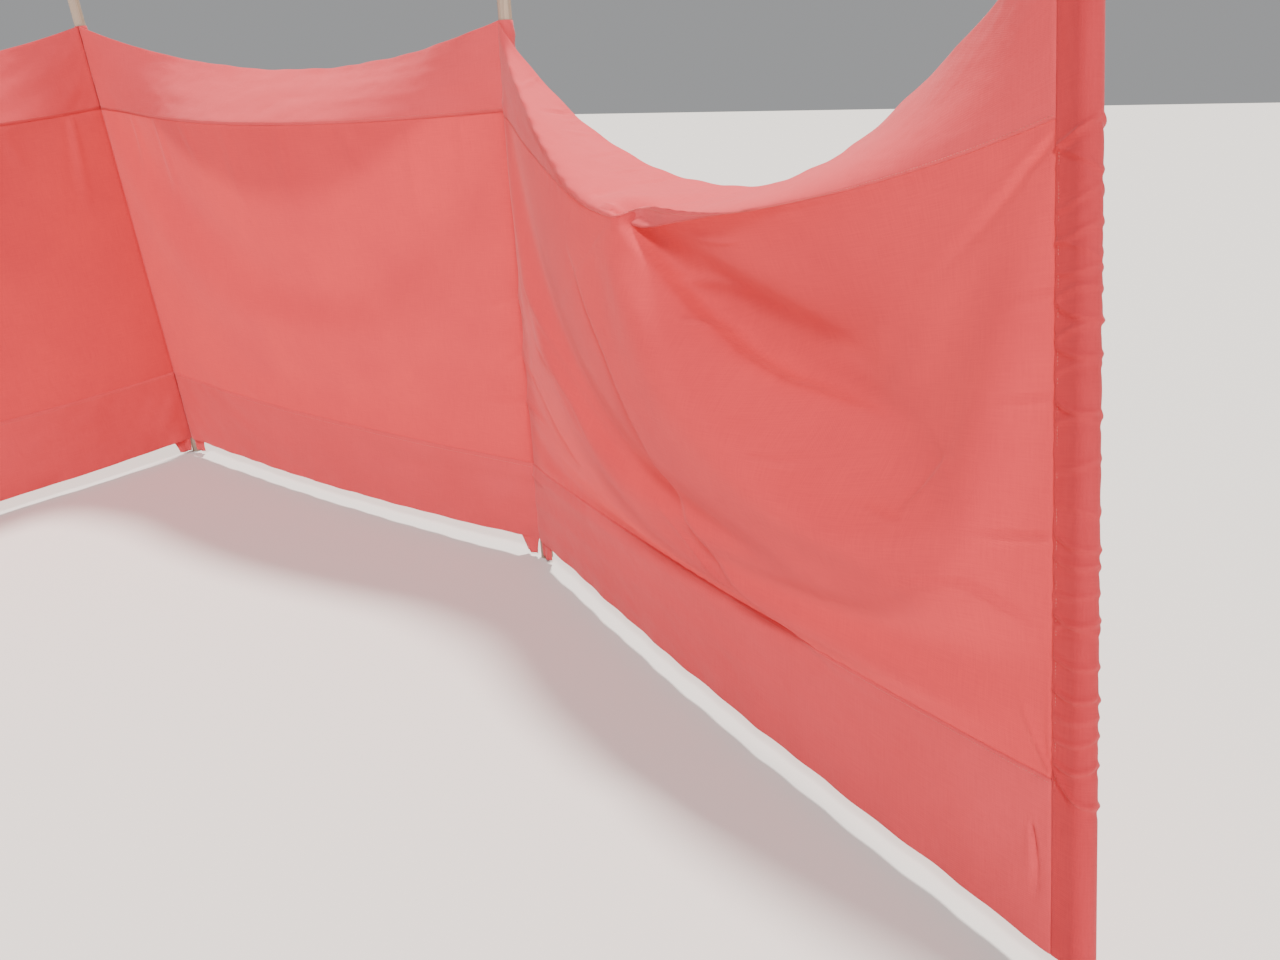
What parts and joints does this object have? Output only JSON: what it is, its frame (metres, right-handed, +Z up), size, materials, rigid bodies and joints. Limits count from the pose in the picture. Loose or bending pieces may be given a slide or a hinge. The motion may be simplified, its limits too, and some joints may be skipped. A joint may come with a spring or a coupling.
{
  "type": "beach windbreak",
  "caption": "Free-standing cloth screen of hemmed fabric bays between round wooden poles held in sewn sleeves, set out as an open-fronted enclosure on the ground.",
  "frame": {"origin": "middle of the foot of the pole second from the right-hand end, at ground level", "axes": "+Z up; +X along the back bay, from the corner pole towards the origin's pole; the bays enclose the -Y side"},
  "size_m": [2.9706, 3.0028, 1.3685],
  "materials": {
    "cloth": "plain woven coral cloth, matt",
    "pole_wood": "smooth turned softwood"
  },
  "bodies": {
    "root": {"bay_1_panel": "cloth", "bay_1_top_hem": "cloth", "bay_1_bottom_hem": "cloth", "bay_2_panel": "cloth", "bay_2_top_hem": "cloth", "bay_2_bottom_hem": "cloth", "bay_3_panel": "cloth", "bay_3_top_hem": "cloth", "bay_3_bottom_hem": "cloth", "bay_4_panel": "cloth", "bay_4_top_hem": "cloth", "bay_4_bottom_hem": "cloth", "pole_1": "pole_wood", "pole_1_sleeve": "cloth", "pole_2": "pole_wood", "pole_2_sleeve": "cloth", "pole_2_sleeve_tails": "cloth", "pole_3": "pole_wood", "pole_3_sleeve": "cloth", "pole_3_sleeve_tails": "cloth", "pole_4": "pole_wood", "pole_4_sleeve": "cloth", "pole_4_sleeve_tails": "cloth", "pole_5": "pole_wood", "pole_5_sleeve": "cloth"}
  },
  "joints": []
}
